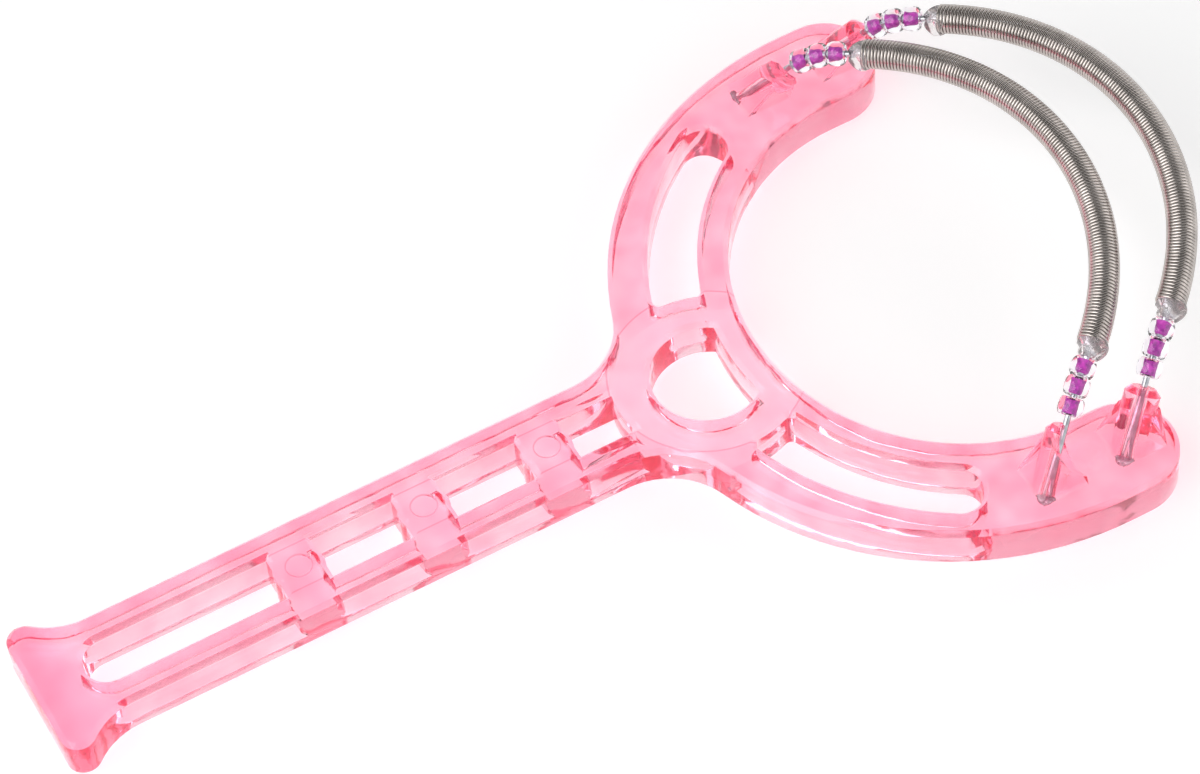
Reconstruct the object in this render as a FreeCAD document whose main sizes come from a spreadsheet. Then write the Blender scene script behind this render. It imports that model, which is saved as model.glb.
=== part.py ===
# Facial hair removal spring: one moulded frame that carries two bowed coil springs side by side.
# The frame lies flat on z = 0, the centre of the ring is the origin, and +X points to the springs.

import FreeCAD, Part
import math
import os

from FreeCAD import Placement, Rotation, Vector

doc = FreeCAD.newDocument("HairRemovalSpring")

# Driving sizes, in millimetres and degrees

SIZES = [
    ("frame_thickness", 6.8, "height of the frame, from the table up"),
    ("edge_softening", 0.7, "bevel along the top and bottom edges of the frame"),
    ("handle_length", 100.3, "centre of the ring to the end of the foot"),
    ("handle_width", 15.2, "over both rails of the handle"),
    ("slot_width", 6.8, "between the rails of the handle"),
    ("foot_bar", 7.2, "solid end of the handle, from the slot to the foot's end face"),
    ("foot_overhang", 3.3, "how far a lobe of the foot stands out beside the handle"),
    ("foot_lobe_radius", 2.4, "round of each lobe of the foot"),
    ("foot_flare_radius", 10.0, "hollow curve from the handle out to a lobe"),
    ("crossbar_count", 3.0, "crossbars in the handle slot"),
    ("crossbar_first", 24.5, "centre of the ring to the nearest crossbar"),
    ("crossbar_pitch", 18.6, "from one crossbar to the next"),
    ("crossbar_boss_radius", 3.6, "round boss in the middle of a crossbar"),
    ("crossbar_web_width", 6.6, "straight web of a crossbar, along the handle"),
    ("boss_mark_radius", 1.75, "round mark sunk in the top of a boss"),
    ("boss_mark_depth", 0.2, "depth of the round marks"),
    ("ring_bore_radius", 7.8, "hole of the ring"),
    ("ring_wall", 5.5, "wall of the ring around its hole"),
    ("opening_start", 8.4, "centre of the ring to the head opening"),
    ("opening_half_length", 29.8, "head opening, from its centre towards the ring"),
    ("opening_side_extra", 2.4, "how much further the head opening reaches to a side than to the ring"),
    ("inner_rail_width", 4.3, "inner rail of an arm, beside the ring"),
    ("outer_rail_width", 3.7, "outer rail of an arm, at the tip end of the arm slot"),
    ("slot_core_extra", 6.2, "curve of the inner rail's slot side, beyond that of the head opening"),
    ("arm_slot_angle", 60.0, "how far round that curve an arm slot runs"),
    ("arm_slot_end_flat", 0.8, "flat between the two round corners at the tip end of an arm slot"),
    ("ring_corner_round", 1.0, "round of the corners where an arm slot meets the ring"),
    ("arm_root_radius", 11.0, "hollow curve from the handle out to an arm"),
    ("tip_width", 14.8, "width of a tip, and of an arm beside the centre of the head"),
    ("tip_straight", 3.0, "straight stretch of a tip before its round end"),
    ("dimple_radius", 1.9, "dimple in the top of a tip"),
    ("dimple_depth", 0.4, "depth of that dimple"),
    ("string_spacing", 12.2, "from one string to the other, along the handle"),
    ("post_setback", 8.35, "centre of the head back to the foot of the nearer post"),
    ("post_radius", 2.5, "outside of a post"),
    ("post_length", 7.6, "along the post, from the top of the tip"),
    ("post_top_softening", 0.8, "bevel round the top of a post"),
    ("post_lean", 42.5, "lean of a post, measured from upright"),
    ("post_heading", 37.2, "turn of that lean from straight ahead towards the mid-plane"),
    ("post_root_width", 7.4, "square root of a post, where it leaves the tip"),
    ("post_root_height", 3.8, "height of the tapered root"),
    ("wire_radius", 0.45, "core wire"),
    ("wire_clearance", 0.15, "room around the core wire in posts, beads and caps"),
    ("wire_depth", 3.0, "how far the wire goes into the tip below the post"),
    ("wire_knob_radius", 1.1, "ball on each end of the core wire"),
    ("wire_knob_clearance", 0.05, "room around the ball in its seat"),
    ("bow_half_angle", 50.0, "sweep of a spring's bow, from its middle to one end"),
    ("bow_tilt", 12.3, "rise of the bow, measured from level"),
    ("spring_radius", 2.15, "outside of a coil spring"),
    ("spring_wire", 0.5, "wire that the coil is wound from"),
    ("turn_pitch", 0.8, "from one modelled turn of a coil to the next"),
    ("cap_straight", 3.0, "straight stretch of the wire beside a spring, which the cap takes up"),
    ("cap_dome_length", 2.1, "part of a cap outside the spring"),
    ("cap_nose_radius", 1.05, "outer end of a cap"),
    ("cap_plug_length", 1.2, "part of a cap inside the spring"),
    ("cap_plug_clearance", 0.1, "room between the plug of a cap and the coil"),
    ("bead_count", 3.0, "beads at each end of a string"),
    ("bead_radius", 1.75, "outside of a bead"),
    ("bead_length", 2.5, "length of a bead"),
    ("bead_rounding", 0.7, "bevel at the ends of a bead"),
    ("bead_bend_radius", 13.0, "bend of the wire from the cap down to the post"),
    ("bend_rise", 0.1, "straight wire between the top of a post and that bend"),
    ("bead_gap", 0.25, "gap from bead to bead and from cap to bead"),
    ("cut_margin", 1.0, "how far a cutting form runs past what it cuts"),
]

sheet = doc.addObject("Spreadsheet::Sheet", "Sizes")
for row, (alias, value, meaning) in enumerate(SIZES, start=1):
    sheet.set("A%d" % row, alias)
    sheet.set("B%d" % row, str(value))
    sheet.set("C%d" % row, meaning)
    sheet.setAlias("B%d" % row, alias)
doc.recompute()


def size(alias):
    """The value of one size in the sheet."""
    return float(sheet.get(alias))


def bind(obj, **expressions):
    """Bind properties to expressions, where x, y and z stand for the place of the object."""
    for name, expression in expressions.items():
        prop = "Placement.Base." + name if name in ("x", "y", "z") else name
        obj.setExpression(prop, expression)
    return obj


def cylinder(name, radius, height, x="0", y="0", z="0"):
    obj = doc.addObject("Part::Cylinder", name)
    return bind(obj, Radius=radius, Height=height, x=x, y=y, z=z)


def box(name, length, width, height, x="0", y="0", z="0"):
    obj = doc.addObject("Part::Box", name)
    return bind(obj, Length=length, Width=width, Height=height, x=x, y=y, z=z)


def fuse(name, shapes):
    obj = doc.addObject("Part::MultiFuse", name)
    obj.Shapes = shapes
    obj.Refine = True
    return obj


def cut(name, base, tools):
    """The base less all the tools."""
    obj = doc.addObject("Part::Cut", name)
    obj.Base = base
    obj.Tool = tools[0] if len(tools) == 1 else fuse(name + "_tools", tools)
    obj.Refine = True
    return obj


# Expressions that several pieces share

THICKNESS = "Sizes.frame_thickness"
THROUGH = "(Sizes.frame_thickness + 2 * Sizes.cut_margin)"
BELOW = "-Sizes.cut_margin"
HEAD_CENTRE = "(Sizes.opening_start + Sizes.opening_half_length)"
HALF_OPENING = "(Sizes.opening_half_length + Sizes.opening_side_extra)"
ARM_RADIUS = "(%s + Sizes.tip_width)" % HALF_OPENING
TIP_MIDDLE = "(%s + Sizes.tip_width / 2)" % HALF_OPENING
CORE_RADIUS = "(%s + Sizes.slot_core_extra)" % HALF_OPENING
SLOT_CENTRE = "(Sizes.opening_start - Sizes.inner_rail_width + %s)" % CORE_RADIUS
HALF_HANDLE = "Sizes.handle_width / 2"
HALF_SLOT = "Sizes.slot_width / 2"
RING_RADIUS = "(Sizes.ring_bore_radius + Sizes.ring_wall)"

head_centre = size("opening_start") + size("opening_half_length")
half_opening = size("opening_half_length") + size("opening_side_extra")
arm_radius = half_opening + size("tip_width")
tip_middle = half_opening + size("tip_width") / 2
core_radius = half_opening + size("slot_core_extra")
slot_centre = size("opening_start") - size("inner_rail_width") + core_radius
ring_radius = size("ring_bore_radius") + size("ring_wall")
bow_tilt = math.radians(size("bow_tilt"))
bow_ahead = Vector(math.cos(bow_tilt), 0, math.sin(bow_tilt))

SAME_PLACE = 0.01       # points closer than this are one place
LEVEL = 0.0001          # an edge that rises less than this lies level

STRING_NAMES = ("inner", "outer")
SIDES = (("left", 1), ("right", -1))


# Outline of the frame: handle, foot, ring and arms

def hollow_corner(name, hollow_radius, round_radius, round_x, round_y, towards):
    """Two hollow curves, one on each side, from the edges of the handle out to a round form.

    The round form is an arc of round_radius about (round_x, round_y), and towards is +1
    where it lies on the +X side of the hollow curve and -1 where it lies on the other side.
    """
    edge = size("handle_width") / 2
    hollow = size(hollow_radius)
    reach = hollow + round_radius
    rise = edge + hollow - round_y
    hollow_x = round_x - towards * math.sqrt(reach ** 2 - rise ** 2)
    meet_x = round_x + (hollow_x - round_x) * round_radius / reach
    meet_y = round_y + rise * round_radius / reach
    near_x, far_x = sorted((hollow_x, round_x if towards < 0 else meet_x))
    block = box(name + "_block", str(far_x - near_x), str(2 * meet_y), THICKNESS,
                str(near_x), str(-meet_y))
    hollows = []
    for side, sign in SIDES:
        place = "%d * (%s + Sizes.%s)" % (sign, HALF_HANDLE, hollow_radius)
        hollows.append(cylinder(name + "_hollow_" + side, "Sizes." + hollow_radius, THROUGH,
                                str(hollow_x), place, BELOW))
    return cut(name, block, hollows)


handle = box("handle_blank", "Sizes.handle_length - Sizes.foot_lobe_radius", "Sizes.handle_width",
             THICKNESS, "Sizes.foot_lobe_radius - Sizes.handle_length", "-" + HALF_HANDLE)
LOBE_MIDDLE = "(Sizes.handle_width / 2 + Sizes.foot_overhang - Sizes.foot_lobe_radius)"
lobe_x = size("foot_lobe_radius") - size("handle_length")
lobe_y = size("handle_width") / 2 + size("foot_overhang") - size("foot_lobe_radius")
foot_parts = [box("foot_end", "Sizes.foot_lobe_radius", "2 * " + LOBE_MIDDLE, THICKNESS,
                  "-Sizes.handle_length", "-" + LOBE_MIDDLE)]
for side, sign in SIDES:
    foot_parts.append(cylinder("foot_lobe_" + side, "Sizes.foot_lobe_radius", THICKNESS,
                               "Sizes.foot_lobe_radius - Sizes.handle_length", "%d * %s" % (sign, LOBE_MIDDLE)))
foot_parts.append(hollow_corner("foot_flare", "foot_flare_radius", size("foot_lobe_radius"),
                                lobe_x, lobe_y, -1))
arm_root = hollow_corner("arm_root", "arm_root_radius", arm_radius, head_centre, 0.0, 1)

arm_disc = cylinder("arm_disc", ARM_RADIUS, THICKNESS, HEAD_CENTRE)
front = box("front_of_head", "2 * " + ARM_RADIUS, "2 * %s + 2 * Sizes.cut_margin" % ARM_RADIUS, THROUGH,
            HEAD_CENTRE, "-%s - Sizes.cut_margin" % ARM_RADIUS, BELOW)

# The head opening is an upright elliptic cylinder, a little wider across the head than along it
opening_outline = doc.addObject("Part::Ellipse", "opening_outline")
opening_outline.Placement = Placement(Vector(), Rotation(Vector(0, 0, 1), 90))
bind(opening_outline, MajorRadius=HALF_OPENING, MinorRadius="Sizes.opening_half_length",
     x=HEAD_CENTRE, z=BELOW)
opening = doc.addObject("Part::Extrusion", "head_opening")
opening.Base = opening_outline
opening.DirMode = "Custom"
opening.Dir = Vector(0, 0, 1)
opening.Solid = True
bind(opening, LengthFwd=THROUGH)
arms = cut("arms", arm_disc, [front, opening])

# Each tip runs straight on from its arm and ends in a half round
tips = []
for side, sign in SIDES:
    tips.append(box("tip_length_" + side, "Sizes.tip_straight", "Sizes.tip_width", THICKNESS, HEAD_CENTRE,
                    "%d * %s - Sizes.tip_width / 2" % (sign, TIP_MIDDLE)))
    tips.append(cylinder("tip_round_" + side, "Sizes.tip_width / 2", THICKNESS,
                         HEAD_CENTRE + " + Sizes.tip_straight", "%d * %s" % (sign, TIP_MIDDLE)))

blank = fuse("outline", [handle, arm_root, arms] + foot_parts + tips)

# Slot of the handle, with a round foot end, and the slot of each arm

SLOT_LENGTH = "(Sizes.handle_length - Sizes.foot_bar - %s)" % HALF_SLOT
slot = fuse("handle_slot", [
    box("slot_length", SLOT_LENGTH, "Sizes.slot_width", THROUGH, "-" + SLOT_LENGTH, "-" + HALF_SLOT, BELOW),
    cylinder("slot_foot_end", HALF_SLOT, THROUGH, "-" + SLOT_LENGTH, "0", BELOW),
])

# An arm slot is a band round the slot's own centre, which lies a little ahead of the centre of the head.
# Its outer wall leaves the outer rail its full width at the tip end of the slot.
AHEAD = "(%s - %s)" % (SLOT_CENTRE, HEAD_CENTRE)
RAIL_INSIDE = "(%s - Sizes.outer_rail_width)" % ARM_RADIUS
SLOT_RADIUS = "(%s * cos(Sizes.arm_slot_angle) + sqrt(%s ^ 2 - (%s * sin(Sizes.arm_slot_angle)) ^ 2))" % (
    AHEAD, RAIL_INSIDE, AHEAD)
slot_sweep = cylinder("arm_slot_sweep", SLOT_RADIUS, THROUGH, SLOT_CENTRE, "0", BELOW)
slot_sweep.setExpression("Angle", "2 * Sizes.arm_slot_angle")
slot_sweep.setExpression("Placement.Rotation.Angle", "180 - Sizes.arm_slot_angle")
slot_core = cylinder("arm_slot_core", CORE_RADIUS, THROUGH, SLOT_CENTRE, "0", BELOW)
arm_slots_square = cut("arm_slots_square", slot_sweep, [slot_core])
doc.recompute()


def upright_edges(shape, where):
    """Numbers of the straight upright edges whose place passes the test."""
    found = []
    for number, edge in enumerate(shape.Edges, start=1):
        upright = len(edge.Vertexes) == 2 and abs(edge.tangentAt(edge.FirstParameter).z) > 0.999
        if upright and where(edge.CenterOfMass):
            found.append(number)
    return found


def is_slot_end(point):
    """Whether a corner of the arm slots lies at their tip end."""
    angle = math.degrees(math.atan2(abs(point.y), slot_centre - point.x))
    return abs(angle - size("arm_slot_angle")) < 1


slot_corners = upright_edges(arm_slots_square.Shape, is_slot_end)
slot_end_width = [edge.Length for edge in arm_slots_square.Shape.Edges
                  if edge.BoundBox.ZLength < LEVEL and is_slot_end(edge.CenterOfMass)][0]
slot_round = (slot_end_width - size("arm_slot_end_flat")) / 2
arm_slots = doc.addObject("Part::Fillet", "arm_slots")
arm_slots.Base = arm_slots_square
arm_slots.Edges = [(number, slot_round, slot_round) for number in slot_corners]
open_outline = cut("open_outline", blank, [slot, arm_slots])

# Ring and crossbars, which close the slots again where they stand

ring_disc = cylinder("ring_disc", RING_RADIUS, THICKNESS)
solids = [open_outline, cut("ring", ring_disc, [opening])]
marks = []
for index in range(int(size("crossbar_count"))):
    place = "-(Sizes.crossbar_first + %d * Sizes.crossbar_pitch)" % index
    name = "crossbar_%d" % (index + 1)
    solids.append(cylinder(name + "_boss", "Sizes.crossbar_boss_radius", THICKNESS, place))
    solids.append(box(name + "_web", "Sizes.crossbar_web_width", "(Sizes.slot_width + Sizes.handle_width) / 2",
                      THICKNESS, place + " - Sizes.crossbar_web_width / 2",
                      "-(Sizes.slot_width + Sizes.handle_width) / 4"))
    marks.append(cylinder(name + "_mark", "Sizes.boss_mark_radius", "Sizes.boss_mark_depth + Sizes.cut_margin",
                          place, "0", "Sizes.frame_thickness - Sizes.boss_mark_depth"))

# The hole of the ring is a circle that stops at the inner rail
full_circle = cylinder("ring_circle", "Sizes.ring_bore_radius", THROUGH, "0", "0", BELOW)
ring_hole = cut("ring_hole", full_circle, [slot_core])
plate = cut("plate", fuse("plate_solids", solids), [ring_hole])
doc.recompute()

# Round corners where the arm slots meet the ring, then soft edges all round the top and the bottom

def is_ring_corner(point):
    """Whether a corner lies on the outside of the ring and in an arm slot."""
    on_ring = abs(math.hypot(point.x, point.y) - ring_radius) < SAME_PLACE
    from_core = math.hypot(point.x - slot_centre, point.y) - core_radius
    return on_ring and from_core > -SAME_PLACE and abs(point.y) > size("handle_width") / 2


round_plate = doc.addObject("Part::Fillet", "round_plate")
round_plate.Base = plate
round_plate.Edges = [(number, size("ring_corner_round"), size("ring_corner_round"))
                     for number in upright_edges(plate.Shape, is_ring_corner)]
doc.recompute()

soft_plate = doc.addObject("Part::Chamfer", "soft_plate")
soft_plate.Base = round_plate
soft_plate.Edges = [(number, size("edge_softening"), size("edge_softening"))
                    for number, edge in enumerate(round_plate.Shape.Edges, start=1)
                    if edge.BoundBox.ZLength < LEVEL]


# The leaning posts on the tips, with the seats of the core wires

def lean_direction(sign):
    """Direction of a post, from its foot up, on the side that sign names."""
    lean = math.radians(size("post_lean"))
    heading = math.radians(size("post_heading"))
    return Vector(math.sin(lean) * math.cos(heading),
                  -sign * math.sin(lean) * math.sin(heading),
                  math.cos(lean))


def along_post(obj, start, post_x, post_y, direction):
    """Stand a round form along a post, from start on, counted from the top of the tip."""
    obj.Placement = Placement(Vector(), Rotation(Vector(0, 0, 1), direction))
    return bind(obj,
                x="%s + (%s) * %.9f" % (post_x, start, direction.x),
                y="%s + (%s) * %.9f" % (post_y, start, direction.y),
                z="Sizes.frame_thickness + (%s) * %.9f" % (start, direction.z))


def post_root(name, post_x, post_y, direction):
    """The square root of a post, which tapers up along its lean."""
    root = doc.addObject("Part::Wedge", name)
    root.Placement = Placement(Vector(), Rotation(Vector(1, 0, 0), 90))
    drift_x = "Sizes.post_root_height * %.9f" % (direction.x / direction.z)
    drift_y = "Sizes.post_root_height * %.9f" % (-direction.y / direction.z)
    half_low = "Sizes.post_root_width / 2"
    half_high = "Sizes.post_radius * 0.8"
    return bind(root, Ymin="-Sizes.edge_softening", Ymax="Sizes.post_root_height",
                Xmin="-" + half_low, Xmax=half_low, Zmin="-" + half_low, Zmax=half_low,
                X2min="%s - %s" % (drift_x, half_high), X2max="%s + %s" % (drift_x, half_high),
                Z2min="%s - %s" % (drift_y, half_high), Z2max="%s + %s" % (drift_y, half_high),
                x=post_x, y=post_y, z=THICKNESS)


post_solids = []
post_seats = []
for string_index, string_name in enumerate(STRING_NAMES):
    for side, sign in SIDES:
        name = "post_%s_%s" % (string_name, side)
        direction = lean_direction(sign)
        post_x = "%s - Sizes.post_setback + %d * Sizes.string_spacing" % (HEAD_CENTRE, string_index)
        post_y = "%d * %s" % (sign, TIP_MIDDLE)
        sunk = "Sizes.post_radius"
        barrel_top = "(Sizes.post_length - Sizes.post_top_softening)"
        barrel = cylinder(name, "Sizes.post_radius", barrel_top + " + " + sunk)
        post_solids.append(along_post(barrel, "-" + sunk, post_x, post_y, direction))
        crown = doc.addObject("Part::Cone", name + "_top")
        bind(crown, Radius1="Sizes.post_radius", Radius2="Sizes.post_radius - Sizes.post_top_softening",
             Height="Sizes.post_top_softening")
        post_solids.append(along_post(crown, barrel_top, post_x, post_y, direction))
        post_solids.append(post_root(name + "_root", post_x, post_y, direction))
        bore = cylinder(name + "_bore", "Sizes.wire_radius + Sizes.wire_clearance",
                        "Sizes.wire_depth + Sizes.post_length + Sizes.cut_margin")
        post_seats.append(along_post(bore, "-Sizes.wire_depth", post_x, post_y, direction))
        seat = doc.addObject("Part::Sphere", name + "_knob_seat")
        bind(seat, Radius="Sizes.wire_knob_radius + Sizes.wire_knob_clearance",
             x="%s - Sizes.wire_depth * %.9f" % (post_x, direction.x),
             y="%s - Sizes.wire_depth * %.9f" % (post_y, direction.y),
             z="Sizes.frame_thickness - Sizes.wire_depth * %.9f" % direction.z)
        post_seats.append(seat)

# A shallow round dimple in the top of each tip, between its posts
DIMPLE_SPHERE = "(Sizes.dimple_radius ^ 2 + Sizes.dimple_depth ^ 2) / (2 * Sizes.dimple_depth)"
for side, sign in SIDES:
    dimple = doc.addObject("Part::Sphere", "dimple_" + side)
    marks.append(bind(dimple, Radius=DIMPLE_SPHERE, y="%d * %s" % (sign, TIP_MIDDLE),
                      x="%s - Sizes.post_setback + Sizes.string_spacing / 2" % HEAD_CENTRE,
                      z="Sizes.frame_thickness + %s - Sizes.dimple_depth" % DIMPLE_SPHERE))

frame = cut("frame", fuse("frame_solids", [soft_plate] + post_solids), marks + post_seats)
doc.recompute()


# Centre line of one string: post, bend through the beads, cap, bow, and the same back again

def string_line(string_index):
    """The centre line of a string: the points of its left end, and the bow that joins both ends."""
    foot_x = head_centre - size("post_setback") + string_index * size("string_spacing")
    foot = Vector(foot_x, tip_middle, size("frame_thickness"))
    half_angle = math.radians(size("bow_half_angle"))
    post_direction = lean_direction(1)
    end_direction = bow_ahead * math.sin(half_angle) + Vector(0, -math.cos(half_angle), 0)
    turn = post_direction.getAngle(end_direction)
    bend = size("bead_bend_radius")
    bend_start = foot + post_direction * (size("post_length") + size("bend_rise"))
    corner = bend_start + post_direction * (bend * math.tan(turn / 2))
    bend_end = corner + end_direction * (bend * math.tan(turn / 2))
    inward = (end_direction - post_direction).normalize()
    spring_end = bend_end + end_direction * size("cap_straight")
    bow_radius = spring_end.y / math.sin(half_angle)
    apex = Vector(spring_end.x, 0, spring_end.z) + bow_ahead * (bow_radius * (1 - math.cos(half_angle)))
    return {
        "knob": foot - post_direction * size("wire_depth"),
        "bend_start": bend_start,
        "bend_middle": corner + inward * (bend / math.cos(turn / 2) - bend),
        "bend_end": bend_end,
        "spring_end": spring_end,
        "post_direction": post_direction,
        "end_direction": end_direction,
        "turn": turn,
        "half_angle": half_angle,
        "bow_radius": bow_radius,
        "apex": apex,
        "bow_centre": apex - bow_ahead * bow_radius,
    }


def mirrored(point):
    """The same point on the other side of the mid-plane."""
    return Vector(point.x, -point.y, point.z)


def wire_path(line):
    """The centre line as one wire of straight runs and tangent arcs."""
    left = [line[key] for key in ("knob", "bend_start", "bend_middle", "bend_end", "spring_end")]
    right = [mirrored(point) for point in left]
    return Part.Wire([
        Part.LineSegment(left[0], left[1]).toShape(),
        Part.Arc(left[1], left[2], left[3]).toShape(),
        Part.LineSegment(left[3], left[4]).toShape(),
        Part.Arc(left[4], line["apex"], right[4]).toShape(),
        Part.LineSegment(right[4], right[3]).toShape(),
        Part.Arc(right[3], right[2], right[1]).toShape(),
        Part.LineSegment(right[1], right[0]).toShape(),
    ])


# Core wires, each with a ball on both ends

def core_wire(string_name, line):
    section = Part.Wire(Part.makeCircle(size("wire_radius"), line["knob"], line["post_direction"]))
    sweep = doc.addObject("Part::Feature", "wire_sweep_" + string_name)
    sweep.Shape = wire_path(line).makePipe(Part.Face(section))
    knobs = []
    for side, sign in SIDES:
        knob = doc.addObject("Part::Sphere", "wire_knob_%s_%s" % (string_name, side))
        place = line["knob"] if sign > 0 else mirrored(line["knob"])
        knob.Placement = Placement(place, Rotation(Vector(0, 0, 1), lean_direction(sign)))
        knobs.append(bind(knob, Radius="Sizes.wire_knob_radius"))
    return fuse("core_wire_" + string_name, [sweep] + knobs)


# Coil springs: a ridge for each turn round the bow, and a bore for the core wire

COIL_SIDES = 8
COIL_FLAT = math.cos(math.pi / COIL_SIDES)
TURNS_PER_BORE_STEP = 3


def coil_section(line, angle, radius):
    """A many-sided section of the coil, square to the bow at the given angle from the apex."""
    outward = bow_ahead * math.cos(angle) + Vector(0, math.sin(angle), 0)
    upward = bow_ahead.cross(Vector(0, 1, 0))
    centre = line["bow_centre"] + outward * line["bow_radius"]
    corners = []
    for step in range(COIL_SIDES):
        turn = 2 * math.pi * (step + 0.5) / COIL_SIDES
        corners.append(centre + outward * (radius * math.cos(turn)) + upward * (radius * math.sin(turn)))
    return Part.makePolygon(corners + corners[:1])


def coil_shape(line):
    """A closed coil along the bow, with a round of ridges outside and a plain bore."""
    bow_length = 2 * line["half_angle"] * line["bow_radius"]
    turns = max(1, round(bow_length / size("turn_pitch")))
    step = 2 * line["half_angle"] / turns
    crest = size("spring_radius") * (1 + 1 / COIL_FLAT) / 2
    groove = crest - size("spring_wire") / 2
    ridges = []
    for number in range(turns):
        start = -line["half_angle"] + number * step
        ridges.append(coil_section(line, start, groove))
        ridges.append(coil_section(line, start + step / 2, crest))
    ridges.append(coil_section(line, line["half_angle"], groove))
    bore_steps = max(1, turns // TURNS_PER_BORE_STEP)
    bore_radius = size("spring_radius") - size("spring_wire")
    bores = [coil_section(line, line["half_angle"] * (2 * number / bore_steps - 1), bore_radius)
             for number in range(bore_steps + 1)]
    ends = [Part.Face(ridges[end]).cut(Part.Face(bores[end])).Faces[0] for end in (0, -1)]
    outside = Part.makeLoft(ridges, False, True).Faces
    inside = Part.makeLoft(bores, False, True).Faces
    skin = Part.Shell(outside + inside + ends)
    skin.sewShape()
    return Part.Solid(skin)


# Caps in the ends of the springs, and the beads between a cap and its post

def end_cap(name, place, direction):
    """A cap whose shoulder rests on the end of the spring, with its plug inside the coil."""
    parts = []
    for part_name, kind in (("dome", "Part::Cone"), ("plug", "Part::Cylinder")):
        obj = doc.addObject(kind, name + "_" + part_name)
        parts.append(obj)
    dome, plug = parts
    dome.Placement = Placement(place, Rotation(Vector(0, 0, 1), -direction))
    bind(dome, Radius1="Sizes.spring_radius", Radius2="Sizes.cap_nose_radius", Height="Sizes.cap_dome_length")
    plug.Placement = Placement(place, Rotation(Vector(0, 0, 1), direction))
    bind(plug, Height="Sizes.cap_plug_length",
         Radius="(Sizes.spring_radius - Sizes.spring_wire) * %.9f - Sizes.cap_plug_clearance" % COIL_FLAT)
    hole = doc.addObject("Part::Cylinder", name + "_hole")
    hole.Placement = Placement(place - direction * (size("cap_dome_length") + size("cut_margin")),
                               Rotation(Vector(0, 0, 1), direction))
    bind(hole, Radius="Sizes.wire_radius + Sizes.wire_clearance",
         Height="Sizes.cap_dome_length + Sizes.cap_plug_length + 2 * Sizes.cut_margin")
    return cut(name, fuse(name + "_body", parts), [hole])


def bead(name, place, direction):
    """A bead centred on a place, threaded along a direction."""
    start = place - direction * (size("bead_length") / 2)
    turned = Rotation(Vector(0, 0, 1), direction)
    barrel = doc.addObject("Part::Cylinder", name + "_barrel")
    barrel.Placement = Placement(start, turned)
    bind(barrel, Radius="Sizes.bead_radius", Height="Sizes.bead_length")
    doc.recompute()
    rounded = doc.addObject("Part::Chamfer", name + "_rounded")
    rounded.Base = barrel
    rims = [number for number, edge in enumerate(barrel.Shape.Edges, start=1) if edge.Closed]
    rounded.Edges = [(number, size("bead_rounding"), size("bead_rounding")) for number in rims]
    hole = doc.addObject("Part::Cylinder", name + "_hole")
    hole.Placement = Placement(start - direction * size("cut_margin"), turned)
    bind(hole, Radius="Sizes.wire_radius + Sizes.wire_clearance",
         Height="Sizes.bead_length + 2 * Sizes.cut_margin")
    return cut(name, rounded, [hole])


def bead_places(line):
    """Centre and direction of each bead of the left end, from the cap down to the post."""
    bend = size("bead_bend_radius")
    normal = (line["end_direction"] - line["post_direction"]).normalize()
    middle = line["bend_middle"]
    centre = middle + normal * bend
    across = normal.cross(line["post_direction"].cross(line["end_direction"])).normalize()
    if across.dot(line["end_direction"]) < 0:
        across = -across
    pitch = size("bead_length") + size("bead_gap")
    from_cap = size("cap_straight") - size("cap_dome_length")
    places = []
    for index in range(int(size("bead_count"))):
        travel = size("bead_gap") + size("bead_length") / 2 + index * pitch - from_cap
        angle = line["turn"] / 2 - travel / bend
        place = centre - normal * (bend * math.cos(angle)) + across * (bend * math.sin(angle))
        direction = across * math.cos(angle) + normal * math.sin(angle)
        places.append((place, direction))
    return places


pieces = [frame]
coil = coil_shape(string_line(0))
for string_index, string_name in enumerate(STRING_NAMES):
    line = string_line(string_index)
    pieces.append(core_wire(string_name, line))
    spring = doc.addObject("Part::Feature", "spring_" + string_name)
    spring.Shape = coil
    pieces.append(bind(spring, x="%d * Sizes.string_spacing" % string_index))
    for side, sign in SIDES:
        end = line["spring_end"] if sign > 0 else mirrored(line["spring_end"])
        direction = line["end_direction"] if sign > 0 else mirrored(line["end_direction"])
        pieces.append(end_cap("end_cap_%s_%s" % (string_name, side), end, direction))
        for number, (place, heading) in enumerate(bead_places(line), start=1):
            name = "bead_%s_%s_%d" % (string_name, side, number)
            if sign > 0:
                pieces.append(bead(name, place, heading))
            else:
                pieces.append(bead(name, mirrored(place), mirrored(heading)))

doc.recompute()

# Check and write the pieces

for obj in doc.Objects:
    bad = [state for state in obj.State if state in ("Invalid", "Error")]
    if bad:
        raise RuntimeError("%s is %s" % (obj.Name, bad))
for piece in pieces:
    if piece.Shape.isNull() or not piece.Shape.isValid() or len(piece.Shape.Solids) != 1:
        raise RuntimeError("%s has no single valid solid" % piece.Name)

os.makedirs("parts", exist_ok=True)
for piece in pieces:
    piece.Label = piece.Name
    piece.Shape.exportStep("parts/%s.step" % piece.Label)
    print("%-24s %10.3f mm3" % (piece.Label, piece.Shape.Volume))
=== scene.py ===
"""The looks of the facial hair removal spring.

The moulded pink frame lies flat on the table with its ring at the origin. Two strings stand up from
its tips: a core wire, three lined beads and a clear cap at each end, and a bowed coil between them.
"""

import math
from functools import partial

import bmesh
import bpy
from mathutils import Matrix, Vector


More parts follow.
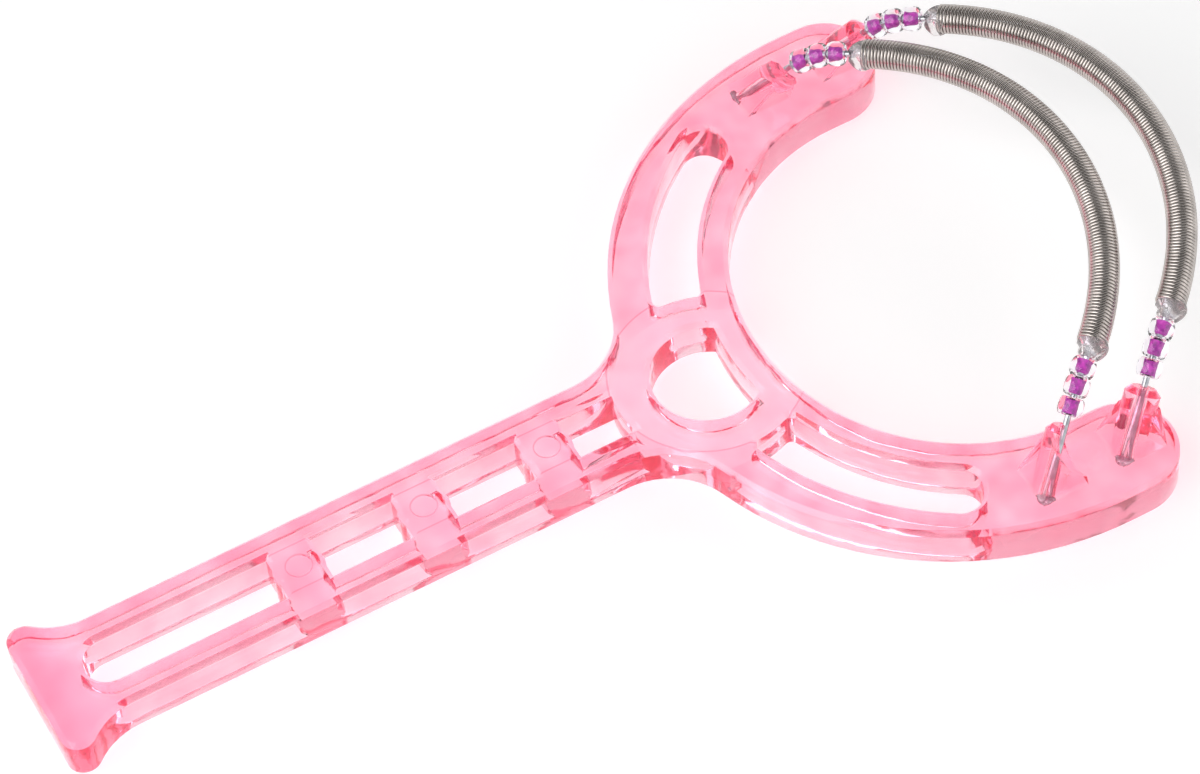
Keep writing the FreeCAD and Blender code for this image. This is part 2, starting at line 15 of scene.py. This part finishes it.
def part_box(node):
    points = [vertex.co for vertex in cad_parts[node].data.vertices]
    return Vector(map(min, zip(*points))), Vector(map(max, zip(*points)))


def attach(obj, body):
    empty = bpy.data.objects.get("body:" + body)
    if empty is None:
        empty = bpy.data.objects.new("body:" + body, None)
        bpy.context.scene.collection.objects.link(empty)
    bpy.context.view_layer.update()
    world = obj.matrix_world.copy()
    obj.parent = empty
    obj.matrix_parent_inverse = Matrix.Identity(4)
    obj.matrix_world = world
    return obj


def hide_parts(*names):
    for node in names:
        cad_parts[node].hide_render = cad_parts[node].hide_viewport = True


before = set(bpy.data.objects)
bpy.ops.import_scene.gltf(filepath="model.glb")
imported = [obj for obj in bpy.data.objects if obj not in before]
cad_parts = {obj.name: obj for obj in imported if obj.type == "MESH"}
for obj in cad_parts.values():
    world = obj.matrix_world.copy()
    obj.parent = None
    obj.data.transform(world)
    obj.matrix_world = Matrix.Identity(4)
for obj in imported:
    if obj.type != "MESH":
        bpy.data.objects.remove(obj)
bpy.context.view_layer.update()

MM = 0.001
FULL_TURN = 2 * math.pi
WELD = 1e-7
FRAME_WELD = 1e-6
NOWHERE = Vector((0.0, 0.0, 0.0))

# The bow of the inner string, and the step from it to the outer one
BOW_CENTRE = Vector((17.610, 0.0, 11.697)) * MM
BOW_RADIUS = 38.89 * MM
BOW_HALF_ANGLE = math.radians(50.0)
BOW_TILT = math.radians(12.3)
STRING_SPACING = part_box("spring_outer")[0].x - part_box("spring_inner")[0].x

# The coil, which is wound turn against turn
SPRING_RADIUS = 2.15 * MM
COIL_WIRE = 0.47 * MM
COIL_TURNS = 135
STEPS_PER_TURN = 16
WIRE_SIDES = 6

# The clear caps: a plug in the coil, a shoulder on its end and a dome
WIRE_HOLE = 0.6 * MM
CAP_PLUG = 1.2 * MM
CAP_PLUG_RADIUS = 1.5 * MM
CAP_RIM = SPRING_RADIUS * 0.97
CAP_DOME = 2.1 * MM
CAP_NOSE = 1.05 * MM
CAP_FULLNESS = 0.8
CAP_STEPS = 8
CAP_SIDES = 40

# The beads. A fullness below 1 makes a round squarer
BEAD_RADIUS = 1.75 * MM
BEAD_HOLE = 0.62 * MM
BEAD_LENGTH = 2.5 * MM
BEAD_FULLNESS_ACROSS = 0.75
BEAD_FULLNESS_ALONG = 0.85
BEAD_STEPS = 20
BEAD_SIDES = 32
LINING_REACH = BEAD_HOLE * 1.1

# The plate of the frame, and which of its faces and edges count as sloped, folded and sharp
PLATE_TOP = 6.81 * MM
EDGE_ROUNDING = 0.46 * MM
SLOPE_FROM, SLOPE_TO = 0.3, 0.95
FOLD = math.radians(25)
SHARP = math.radians(30)

# Painted dark lines, the painted shade of the edges: round the collar, round each boss and along
# the inner edge of the rails
LINE_WIDTH = 0.24 * MM
COLLAR_RADIUS = 13.55 * MM
FIRST_BOSS = 24.5 * MM
BOSS_PITCH = 18.6 * MM
PAINTED_BOSS_CIRCLE = 1.8 * MM
CROSSBARS_REACH = BOSS_PITCH * 1.3
RAIL_EDGE = 3.45 * MM
LINES_ON_TOP = PLATE_TOP - 0.2 * MM
LINES_ON_SIDES = 0.5 * MM

# Painted shade: the darker pink painted on the foot, which fades in, and on the posts
FOOT_START = 90.0 * MM
FOOT_FADE = 9.0 * MM
POSTS_START = PLATE_TOP + 0.3 * MM

# The plastic: how far it colours light, and after how many surfaces a painted glow takes the place
# of the light
PLASTIC_IOR = 1.49
GLASS_IOR = 1.5
PINK_DEPTH = 66.0
PAINTED_GLOW_AFTER = 5.5

# The studio
FLOOR_SIZE = 3.0
FLOOR_DROP = 0.2 * MM
FLOOR_GLOW = 0.28
SOFTBOX_WIDTH = 0.7
CAMERA_PLACE = Vector((-165.3, -343.6, 509.3)) * MM
CAMERA_TURN = (36.942, 3.831, -28.584)
CAMERA_LENS = 140.2

STRINGS = ("inner", "outer")
SIDES = (("left", 1), ("right", -1))


def grey(level):
    return (level, level, level, 1.0)


# The surface that every material shares

def uneven_surface():
    """A node group: soft patches set the tone and fine grain the gloss. Both lift the surface."""
    group = bpy.data.node_groups.new("uneven_surface", "ShaderNodeTree")

    def sockets(in_out, kind, names):
        for name in names:
            group.interface.new_socket(name, in_out=in_out, socket_type=kind)

    sockets("INPUT", "NodeSocketFloat", ("Patch Size", "Grain Size", "Smoothest", "Roughest",
                                         "Patch Height", "Grain Height"))
    sockets("INPUT", "NodeSocketColor", ("Dark Tone", "Light Tone"))
    sockets("OUTPUT", "NodeSocketColor", ("Tone",))
    sockets("OUTPUT", "NodeSocketFloat", ("Roughness", "Height"))
    nodes, links = group.nodes, group.links
    given = nodes.new("NodeGroupInput")
    result = nodes.new("NodeGroupOutput")
    place = nodes.new("ShaderNodeTexCoord")

    def noise(size, detail):
        """Noise whose features have the given size, spread out to run from 0 to 1."""
        scale = nodes.new("ShaderNodeMath")
        scale.operation = "DIVIDE"
        scale.inputs[0].default_value = 1.0
        links.new(given.outputs[size], scale.inputs[1])
        texture = nodes.new("ShaderNodeTexNoise")
        texture.inputs["Detail"].default_value = detail
        links.new(place.outputs["Object"], texture.inputs["Vector"])
        links.new(scale.outputs["Value"], texture.inputs["Scale"])
        spread = nodes.new("ShaderNodeMapRange")
        spread.inputs["From Min"].default_value = 0.3
        spread.inputs["From Max"].default_value = 0.7
        links.new(texture.outputs["Fac"], spread.inputs["Value"])
        return spread.outputs["Result"]

    def raised(mask, height):
        lift = nodes.new("ShaderNodeMath")
        lift.operation = "MULTIPLY"
        links.new(mask, lift.inputs[0])
        links.new(given.outputs[height], lift.inputs[1])
        return lift.outputs["Value"]

    patches = noise("Patch Size", 1.0)
    grain = noise("Grain Size", 3.0)
    tone = nodes.new("ShaderNodeMix")
    tone.data_type = "RGBA"
    links.new(patches, tone.inputs["Factor"])
    links.new(given.outputs["Dark Tone"], tone.inputs["A"])
    links.new(given.outputs["Light Tone"], tone.inputs["B"])
    links.new(tone.outputs["Result"], result.inputs["Tone"])
    gloss = nodes.new("ShaderNodeMapRange")
    links.new(grain, gloss.inputs["Value"])
    links.new(given.outputs["Smoothest"], gloss.inputs["To Min"])
    links.new(given.outputs["Roughest"], gloss.inputs["To Max"])
    links.new(gloss.outputs["Result"], result.inputs["Roughness"])
    total = nodes.new("ShaderNodeMath")
    total.operation = "ADD"
    links.new(raised(patches, "Patch Height"), total.inputs[0])
    links.new(raised(grain, "Grain Height"), total.inputs[1])
    links.new(total.outputs["Value"], result.inputs["Height"])
    return group


UNEVEN_SURFACE = uneven_surface()


# Steps that build a material

def link(made, out, into):
    made.node_tree.links.new(out, into)


def worked_out(made, operation, *values):
    """One step of arithmetic, on numbers and on the outputs of other nodes."""
    node = made.node_tree.nodes.new("ShaderNodeMath")
    node.operation = operation
    for socket, value in zip(node.inputs, values):
        if isinstance(value, float):
            socket.default_value = value
        else:
            link(made, value, socket)
    return node.outputs["Value"]


def finish(name, patches, grain, gloss, heights, dark, light):
    """A material with the shared surface.

    Sizes and heights are in mm, of patches and then of grain. The gloss runs from smoothest to
    roughest, and the tone from dark to light."""
    made = bpy.data.materials.new(name)
    made.use_nodes = True
    nodes = made.node_tree.nodes
    shader = nodes["Principled BSDF"]
    surface = nodes.new("ShaderNodeGroup")
    surface.node_tree = UNEVEN_SURFACE
    surface.inputs["Patch Size"].default_value = patches * MM
    surface.inputs["Grain Size"].default_value = grain * MM
    surface.inputs["Smoothest"].default_value, surface.inputs["Roughest"].default_value = gloss
    surface.inputs["Patch Height"].default_value = heights[0] * MM
    surface.inputs["Grain Height"].default_value = heights[1] * MM
    surface.inputs["Dark Tone"].default_value = (*dark, 1.0)
    surface.inputs["Light Tone"].default_value = (*light, 1.0)
    bump = nodes.new("ShaderNodeBump")
    bump.inputs["Distance"].default_value = 1.0
    link(made, surface.outputs["Tone"], shader.inputs["Base Color"])
    link(made, surface.outputs["Roughness"], shader.inputs["Roughness"])
    link(made, surface.outputs["Height"], bump.inputs["Height"])
    link(made, bump.outputs["Normal"], shader.inputs["Normal"])
    return made, shader


def turns_to(made, mask, other):
    """The surface turns to another shader as far as the mask says."""
    nodes = made.node_tree.nodes
    surface = nodes["Material Output"].inputs["Surface"]
    mix = nodes.new("ShaderNodeMixShader")
    link(made, mask, mix.inputs["Fac"])
    link(made, surface.links[0].from_socket, mix.inputs[1])
    link(made, other, mix.inputs[2])
    link(made, mix.outputs["Shader"], surface)


def clear_to_lamps(made, shader, transmission, ior):
    """Lets light through, and no black shadow falls behind it, because lamps shine through."""
    shader.inputs["Transmission Weight"].default_value = transmission
    shader.inputs["IOR"].default_value = ior
    nodes = made.node_tree.nodes
    path = nodes.new("ShaderNodeLightPath")
    clear = nodes.new("ShaderNodeBsdfTransparent")
    turns_to(made, path.outputs["Is Shadow Ray"], clear.outputs["BSDF"])


def toned(made, shader, mask, strength, colour):
    """The base colour turns to another one as far as the mask and the strength say."""
    base = shader.inputs["Base Color"]
    mix = made.node_tree.nodes.new("ShaderNodeMix")
    mix.data_type = "RGBA"
    mix.inputs["B"].default_value = (*colour, 1.0)
    link(made, worked_out(made, "MULTIPLY", mask, strength), mix.inputs["Factor"])
    link(made, base.links[0].from_socket, mix.inputs["A"])
    link(made, mix.outputs["Result"], base)


# Materials

def painted_tones(made, shader):
    """Painted light and shade in the base colour: a paler collar, a darker pink foot and posts, and
    thin dark lines.

    The painted lines run round the collar, and on top along the rails and round each boss."""
    step = partial(worked_out, made)
    nodes = made.node_tree.nodes
    place = nodes.new("ShaderNodeTexCoord")
    split = nodes.new("ShaderNodeSeparateXYZ")
    link(made, place.outputs["Object"], split.inputs["Vector"])
    along, across, up = split.outputs["X"], split.outputs["Y"], split.outputs["Z"]
    squared = step("MULTIPLY", across, across)

    def reach_from(ahead):
        """Distance from an upright axis in the middle of the handle, from how far it is ahead."""
        return step("SQRT", step("MULTIPLY_ADD", ahead, ahead, squared))

    def painted_line_at(distance, wanted):
        return step("COMPARE", distance, wanted, LINE_WIDTH / 2)

    from_collar = reach_from(along)
    from_first = step("ADD", along, FIRST_BOSS)
    from_boss = reach_from(step("WRAP", from_first, BOSS_PITCH / 2, -BOSS_PITCH / 2))
    boss_or_rail = step("MAXIMUM", painted_line_at(from_boss, PAINTED_BOSS_CIRCLE),
                        painted_line_at(step("ABSOLUTE", across), RAIL_EDGE))
    on_top = step("MULTIPLY", boss_or_rail, step("GREATER_THAN", up, LINES_ON_TOP))
    on_crossbars = step("MULTIPLY", on_top,
                        step("COMPARE", from_first, -BOSS_PITCH, CROSSBARS_REACH))
    on_sides = step("MULTIPLY", painted_line_at(from_collar, COLLAR_RADIUS),
                    step("GREATER_THAN", up, LINES_ON_SIDES))
    lines = step("MAXIMUM", on_sides, on_crossbars)

    collar = step("LESS_THAN", from_collar, COLLAR_RADIUS)
    beyond = step("MULTIPLY_ADD", along, -1 / FOOT_FADE, -FOOT_START / FOOT_FADE)
    foot = step("MINIMUM", step("MAXIMUM", beyond, 0.0), 1.0)
    posts = step("GREATER_THAN", up, POSTS_START)
    # Painted light on the collar and painted shade on the foot and posts: paler and darker copies
    # of the one pink plastic
    toned(made, shader, collar, strength=0.55, colour=(1.0, 0.98, 0.98))
    toned(made, shader, foot, strength=0.6, colour=(0.99, 0.46, 0.61))
    toned(made, shader, posts, strength=0.5, colour=(0.98, 0.52, 0.66))
    # Painted shade: thin dark lines where the edges of the collar, the bosses and the rails are
    toned(made, shader, lines, strength=0.7, colour=(0.68, 0.26, 0.38))


def pink_plastic():
    """Clear pink plastic, with the soft waves that a mould leaves, painted paler and darker tones
    and painted dark lines.

    Where a ray has met many surfaces inside it, the plastic turns to a painted glow of a darker
    pink."""
    made, shader = finish("pink_plastic", patches=5.0, grain=0.8, gloss=(0.02, 0.08),
                          heights=(0.06, 0.0004), dark=(1.0, 0.63, 0.72), light=(1.0, 0.92, 0.94))
    painted_tones(made, shader)
    clear_to_lamps(made, shader, transmission=0.97, ior=PLASTIC_IOR)
    nodes = made.node_tree.nodes
    path = nodes.new("ShaderNodeLightPath")
    # Painted glow: a ray that has met many surfaces ends in this darker pink light and is not
    # followed further
    painted_glow = nodes.new("ShaderNodeEmission")
    painted_glow.inputs["Color"].default_value = (0.95, 0.25, 0.42, 1.0)
    painted_glow_mask = worked_out(made, "GREATER_THAN", path.outputs["Ray Depth"], PAINTED_GLOW_AFTER)
    turns_to(made, painted_glow_mask, painted_glow.outputs["Emission"])
    depth = nodes.new("ShaderNodeVolumeAbsorption")
    depth.inputs["Color"].default_value = (0.985, 0.26, 0.47, 1.0)
    depth.inputs["Density"].default_value = PINK_DEPTH
    link(made, depth.outputs["Volume"], nodes["Material Output"].inputs["Volume"])
    return made


def spring_steel():
    """Bright drawn wire, a little darker in places, with fine draw marks."""
    made, shader = finish("spring_steel", patches=3.0, grain=0.3, gloss=(0.14, 0.25),
                          heights=(0.0, 0.0004), dark=(0.47, 0.43, 0.405), light=(0.60, 0.55, 0.52))
    shader.inputs["Metallic"].default_value = 1.0
    return made


def wire_steel():
    """The core wire, a smoother and cooler steel."""
    made, shader = finish("wire_steel", patches=1.2, grain=0.15, gloss=(0.10, 0.28),
                          heights=(0.0, 0.004), dark=(0.38, 0.39, 0.43), light=(0.62, 0.64, 0.68))
    shader.inputs["Metallic"].default_value = 1.0
    return made


def clear_plastic():
    """The caps' clear plastic, with a faint pink tint."""
    made, shader = finish("clear_plastic", patches=1.5, grain=0.2, gloss=(0.01, 0.06),
                          heights=(0.03, 0.0005), dark=(1.0, 0.93, 0.94), light=(1.0, 0.98, 0.98))
    clear_to_lamps(made, shader, transmission=0.88, ior=PLASTIC_IOR)
    return made


def bead_glass():
    """Clear pressed glass, slightly uneven."""
    made, shader = finish("bead_glass", patches=1.1, grain=0.25, gloss=(0.0, 0.04),
                          heights=(0.03, 0.0005), dark=(0.97, 0.93, 1.0), light=(1.0, 0.99, 1.0))
    clear_to_lamps(made, shader, transmission=1.0, ior=GLASS_IOR)
    return made


def purple_lining():
    """The vivid coat in the hole of a bead, darker where it is thick."""
    return finish("purple_lining", patches=0.5, grain=0.1, gloss=(0.25, 0.5),
                  heights=(0.02, 0.002), dark=(0.20, 0.006, 0.19), light=(0.50, 0.035, 0.40))[0]


PINK = pink_plastic()
SPRING = spring_steel()
WIRE = wire_steel()
CLEAR = clear_plastic()
GLASS = bead_glass()
LINING = purple_lining()


# Shapes

def shown(name, data):
    """An object of the scene that shows a mesh, lamp or camera."""
    obj = bpy.data.objects.new(name, data)
    bpy.context.scene.collection.objects.link(obj)
    return obj


def meshed(name, bm, *materials):
    """An object made of a finished shape and its materials."""
    mesh = bpy.data.meshes.new(name)
    bm.to_mesh(mesh)
    bm.free()
    for entry in materials:
        mesh.materials.append(entry)
    return shown(name, mesh)


def piece(name, bm, node, slot, *materials):
    """A smooth shape, its faces turned outward, that rides along and stands for a node."""
    bmesh.ops.recalc_face_normals(bm, faces=bm.faces)
    if bm.calc_volume(signed=True) < 0.0:
        bmesh.ops.reverse_faces(bm, faces=bm.faces)
    for face in bm.faces:
        face.smooth = True
    obj = meshed(name, bm, *materials)
    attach(obj, "root")
    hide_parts(node)
    return obj


def lathe(profile, sides):
    """A closed profile of (radius, height) points turned round the upright axis."""
    bm = bmesh.new()
    points = [bm.verts.new((radius, 0.0, height)) for radius, height in profile]
    edges = [bm.edges.new((points[i - 1], points[i])) for i in range(len(points))]
    bmesh.ops.spin(bm, geom=points + edges, cent=(0, 0, 0), axis=(0, 0, 1), angle=FULL_TURN,
                   steps=sides, use_merge=True)
    bmesh.ops.remove_doubles(bm, verts=bm.verts, dist=WELD)
    return bm


def fuller(value, fullness):
    """A sine or cosine pushed toward its ends, for a squarer round."""
    return math.copysign(abs(value) ** fullness, value)


def facing(direction, place):
    """Turns the upright axis to a direction and moves it to a place."""
    return Matrix.Translation(place) @ direction.to_track_quat("Z", "Y").to_matrix().to_4x4()


def bow_place(angle, out=0.0, up=0.0):
    """A place beside the bow of the inner string, at an angle from its middle."""
    ahead = Vector((math.cos(BOW_TILT), 0.0, math.sin(BOW_TILT)))
    outward = ahead * math.cos(angle) + Vector((0.0, math.sin(angle), 0.0))
    upward = ahead.cross(Vector((0.0, 1.0, 0.0)))
    return BOW_CENTRE + outward * (BOW_RADIUS + out) + upward * up


def coil(shift):
    """The wound wire: one turn, repeated along a straight axis and then bent along the bow."""
    winding = 2 * BOW_HALF_ANGLE * BOW_RADIUS - COIL_WIRE
    pitch = winding / COIL_TURNS
    bm = bmesh.new()
    section = (Matrix.Translation((SPRING_RADIUS - COIL_WIRE / 2, 0.0, 0.0))
               @ Matrix.Rotation(math.pi / 2, 4, "X"))
    bmesh.ops.create_circle(bm, segments=WIRE_SIDES, radius=COIL_WIRE / 2, matrix=section)
    bmesh.ops.spin(bm, geom=list(bm.verts) + list(bm.edges), cent=(0, 0, 0), axis=(0, 0, 1),
                   dvec=(0, 0, pitch / STEPS_PER_TURN), angle=FULL_TURN, steps=STEPS_PER_TURN)
    one_turn = list(bm.verts) + list(bm.edges) + list(bm.faces)
    for turn in range(1, COIL_TURNS):
        copy = bmesh.ops.duplicate(bm, geom=one_turn)["geom"]
        verts = [element for element in copy if isinstance(element, bmesh.types.BMVert)]
        bmesh.ops.translate(bm, vec=(0.0, 0.0, pitch * turn), verts=verts)
    bmesh.ops.remove_doubles(bm, verts=bm.verts, dist=WELD)
    bmesh.ops.edgeloop_fill(bm, edges=[edge for edge in bm.edges if edge.is_boundary])
    for vert in bm.verts:
        angle = (vert.co.z - winding / 2) / BOW_RADIUS
        vert.co = bow_place(angle, vert.co.x, vert.co.y) + shift
    return bm


def end_cap():
    """A clear cap: a plug, a shoulder over the end of the coil, and a dome round the wire."""
    profile = [(WIRE_HOLE, -CAP_PLUG), (CAP_PLUG_RADIUS, -CAP_PLUG), (CAP_PLUG_RADIUS, 0.0),
               (CAP_RIM, 0.0)]
    for step in range(1, CAP_STEPS + 1):
        turn = math.pi / 2 * step / CAP_STEPS
        radius = CAP_NOSE + (CAP_RIM - CAP_NOSE) * fuller(math.cos(turn), CAP_FULLNESS)
        profile.append((radius, CAP_DOME * math.sin(turn)))
    profile.append((WIRE_HOLE, CAP_DOME))
    return lathe(profile, CAP_SIDES)


def lined_bead():
    """A round glass bead whose hole has a coloured wall, the second of its materials."""
    wall = (BEAD_RADIUS - BEAD_HOLE) / 2
    profile = []
    for step in range(BEAD_STEPS):
        turn = FULL_TURN * step / BEAD_STEPS
        radius = BEAD_HOLE + wall + wall * fuller(math.cos(turn), BEAD_FULLNESS_ACROSS)
        profile.append((radius, BEAD_LENGTH / 2 * fuller(math.sin(turn), BEAD_FULLNESS_ALONG)))
    bm = lathe(profile, BEAD_SIDES)
    for face in bm.faces:
        centre = face.calc_center_median()
        if math.hypot(centre.x, centre.y) < LINING_REACH:
            face.material_index = 1
    return bm


def bead_axes(centres):
    """The direction of the string through each of three beads, from their centres."""
    first = centres[0] - centres[1]
    second = centres[1] - centres[2]
    return [first * 1.5 - second * 0.5, first + second, second * 1.5 - first * 0.5]


# Pieces

def moulded_frame():
    """The frame of the CAD model with the sloped edges of its plate made round."""
    bm = bmesh.new()
    bm.from_mesh(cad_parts["frame"].data)
    bmesh.ops.remove_doubles(bm, verts=bm.verts, dist=FRAME_WELD)
    bmesh.ops.dissolve_limit(bm, angle_limit=math.radians(0.5), verts=bm.verts, edges=bm.edges)
    bm.normal_update()
    rounded = bm.edges.layers.float.new("bevel_weight_edge")
    for edge in bm.edges:
        turn = edge.calc_face_angle_signed(0.0)
        on_plate = all(vert.co.z < PLATE_TOP for vert in edge.verts)
        slopes = sum(SLOPE_FROM < abs(face.normal.z) < SLOPE_TO for face in edge.link_faces)
        if on_plate and slopes == 1 and turn > FOLD:
            edge[rounded] = 1.0
        else:
            edge.smooth = abs(turn) < SHARP
    obj = piece("moulded_frame", bm, "frame", "pink_plastic", PINK)
    rounding = obj.modifiers.new("rounding", "BEVEL")
    rounding.width = EDGE_ROUNDING
    rounding.segments = 3
    rounding.limit_method = "WEIGHT"
    rounding.harden_normals = True


def core_wire(string):
    """The CAD model's own wire in its finish."""
    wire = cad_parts["core_wire_" + string]
    wire.data.materials.clear()
    wire.data.materials.append(WIRE)


def string_end(string, side, sign, shift):
    """The cap on one end of a coil, and the three beads beyond it."""
    name = "%s_%s" % (string, side)
    end = bow_place(sign * BOW_HALF_ANGLE)
    ahead = bow_place(sign * (BOW_HALF_ANGLE + 0.001)) - end
    cap = end_cap()
    cap.transform(facing(ahead, end + shift))
    piece("cap_" + name, cap, "end_cap_" + name, "clear_cap", CLEAR)
    nodes = ["bead_%s_%d" % (name, number) for number in (1, 2, 3)]
    centres = [sum(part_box(node), NOWHERE) / 2 for node in nodes]
    for node, centre, axis in zip(nodes, centres, bead_axes(centres)):
        bead = lined_bead()
        bead.transform(facing(axis, centre))
        piece("lined_" + node, bead, node, "lined_bead", GLASS, LINING)


moulded_frame()
for string_index, string in enumerate(STRINGS):
    shift = Vector((STRING_SPACING * string_index, 0.0, 0.0))
    piece("coil_" + string, coil(shift), "spring_" + string, "spring_steel", SPRING)
    core_wire(string)
    for side, sign in SIDES:
        string_end(string, side, sign, shift)


# Floor, light and camera

def white_floor():
    """A pale table that shows as white, also in metal and through glass."""
    made = bpy.data.materials.new("white_floor")
    made.use_nodes = True
    nodes = made.node_tree.nodes
    shader = nodes["Principled BSDF"]
    shader.inputs["Base Color"].default_value = grey(0.9)
    shader.inputs["Roughness"].default_value = 0.8
    shader.inputs["Emission Color"].default_value = grey(1.0)
    path = nodes.new("ShaderNodeLightPath")
    seen = path.outputs["Is Camera Ray"]
    for ray in ("Is Glossy Ray", "Is Transmission Ray"):
        seen = worked_out(made, "MAXIMUM", seen, path.outputs[ray])
    glow = worked_out(made, "MULTIPLY", seen, FLOOR_GLOW)
    link(made, glow, shader.inputs["Emission Strength"])
    return made


def floor():
    bm = bmesh.new()
    bmesh.ops.create_grid(bm, x_segments=1, y_segments=1, size=FLOOR_SIZE)
    bmesh.ops.translate(bm, vec=(0.0, 0.0, -FLOOR_DROP), verts=bm.verts)
    meshed("floor", bm, white_floor())


def softbox(name, place, power):
    """A square lamp that faces the ring."""
    light = bpy.data.lights.new(name, "AREA")
    light.size = SOFTBOX_WIDTH
    light.energy = power
    shown(name, light).matrix_world = facing(Vector(place), Vector(place))


def studio_sky():
    """Bright near the table and dark overhead for the metal. Clear plastic shows it white."""
    world = bpy.data.worlds.new("studio")
    bpy.context.scene.world = world
    world.use_nodes = True
    nodes = world.node_tree.nodes
    direction = nodes.new("ShaderNodeTexCoord")
    split = nodes.new("ShaderNodeSeparateXYZ")
    ramp = nodes.new("ShaderNodeValToRGB")
    low, high = ramp.color_ramp.elements
    low.position, low.color = 0.45, grey(0.9)
    high.position, high.color = 0.75, grey(0.12)
    path = nodes.new("ShaderNodeLightPath")
    mix = nodes.new("ShaderNodeMix")
    mix.data_type = "RGBA"
    mix.inputs["B"].default_value = grey(0.95)
    link(world, direction.outputs["Generated"], split.inputs["Vector"])
    link(world, split.outputs["Z"], ramp.inputs["Fac"])
    link(world, path.outputs["Is Transmission Ray"], mix.inputs["Factor"])
    link(world, ramp.outputs["Color"], mix.inputs["A"])
    link(world, mix.outputs["Result"], nodes["Background"].inputs["Color"])


def camera():
    data = bpy.data.cameras.new("camera")
    data.lens = CAMERA_LENS
    data.sensor_width = 36.0
    data.clip_start = 0.01
    obj = shown("camera", data)
    obj.location = CAMERA_PLACE
    obj.rotation_euler = [math.radians(angle) for angle in CAMERA_TURN]
    bpy.context.scene.camera = obj


floor()
softbox("key_softbox", (-0.55, -0.05, 0.55), power=4.0)
softbox("fill_softbox", (0.5, -0.5, 0.45), power=1.3)
studio_sky()
camera()
bpy.context.scene.view_settings.view_transform = "Standard"
